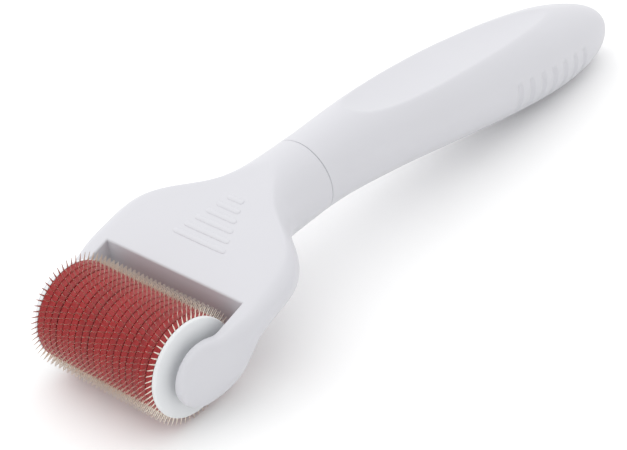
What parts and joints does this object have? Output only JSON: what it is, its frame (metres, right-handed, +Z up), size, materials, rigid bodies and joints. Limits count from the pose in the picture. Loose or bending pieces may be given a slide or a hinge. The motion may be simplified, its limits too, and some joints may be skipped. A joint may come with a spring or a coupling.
{
  "type": "derma roller",
  "caption": "Body derma roller: a drum of stacked needle plates and red discs spins in a wide white fork head that unplugs from a curved two-shell handle.",
  "frame": {"origin": "on the table under the middle of the part's box, with the lowest needle tips on the table", "axes": "+Z up off the table, +Y from the needle drum towards the handle's tail, X along the drum's axle"},
  "size_m": [0.0554, 0.1914, 0.0335],
  "materials": {
    "white_abs": "satin moulded ABS, cool white",
    "inner_abs": "plain moulded ABS, inside the part",
    "cap_abs": "fine matt moulded ABS, white",
    "red_abs": "moulded red ABS, satin",
    "needle_steel": "etched stainless steel plate",
    "axle_steel": "ground stainless steel rod"
  },
  "bodies": {
    "handle": {"handle_upper_shell": "white_abs", "handle_lower_shell": "white_abs", "socket_insert": "inner_abs"},
    "head": {"head_fork": "white_abs", "axle_pin": "axle_steel"},
    "drum": {"drum_core": "inner_abs", "end_cap_left": "cap_abs", "end_cap_right": "cap_abs", "needle_plate_01": "needle_steel", "needle_plate_02": "needle_steel", "needle_plate_03": "needle_steel", "needle_plate_04": "needle_steel", "needle_plate_05": "needle_steel", "needle_plate_06": "needle_steel", "needle_plate_07": "needle_steel", "needle_plate_08": "needle_steel", "needle_plate_09": "needle_steel", "needle_plate_10": "needle_steel", "needle_plate_11": "needle_steel", "needle_plate_12": "needle_steel", "needle_plate_13": "needle_steel", "needle_plate_14": "needle_steel", "needle_plate_15": "needle_steel", "needle_plate_16": "needle_steel", "needle_plate_17": "needle_steel", "needle_plate_18": "needle_steel", "needle_plate_19": "needle_steel", "spacer_disc_01": "red_abs", "spacer_disc_02": "red_abs", "spacer_disc_03": "red_abs", "spacer_disc_04": "red_abs", "spacer_disc_05": "red_abs", "spacer_disc_06": "red_abs", "spacer_disc_07": "red_abs", "spacer_disc_08": "red_abs", "spacer_disc_09": "red_abs", "spacer_disc_10": "red_abs", "spacer_disc_11": "red_abs", "spacer_disc_12": "red_abs", "spacer_disc_13": "red_abs", "spacer_disc_14": "red_abs", "spacer_disc_15": "red_abs", "spacer_disc_16": "red_abs", "spacer_disc_17": "red_abs", "spacer_disc_18": "red_abs"}
  },
  "joints": [
    {"name": "head_release", "type": "slide", "parent": "handle", "child": "head", "axis": [0, -1, 0], "range_m": [0, 0.02]},
    {"name": "drum_spin", "type": "hinge", "parent": "head", "child": "drum", "pos_m": [0, -0.08175, 0.014], "axis": [1, 0, 0], "continuous": true}
  ]
}
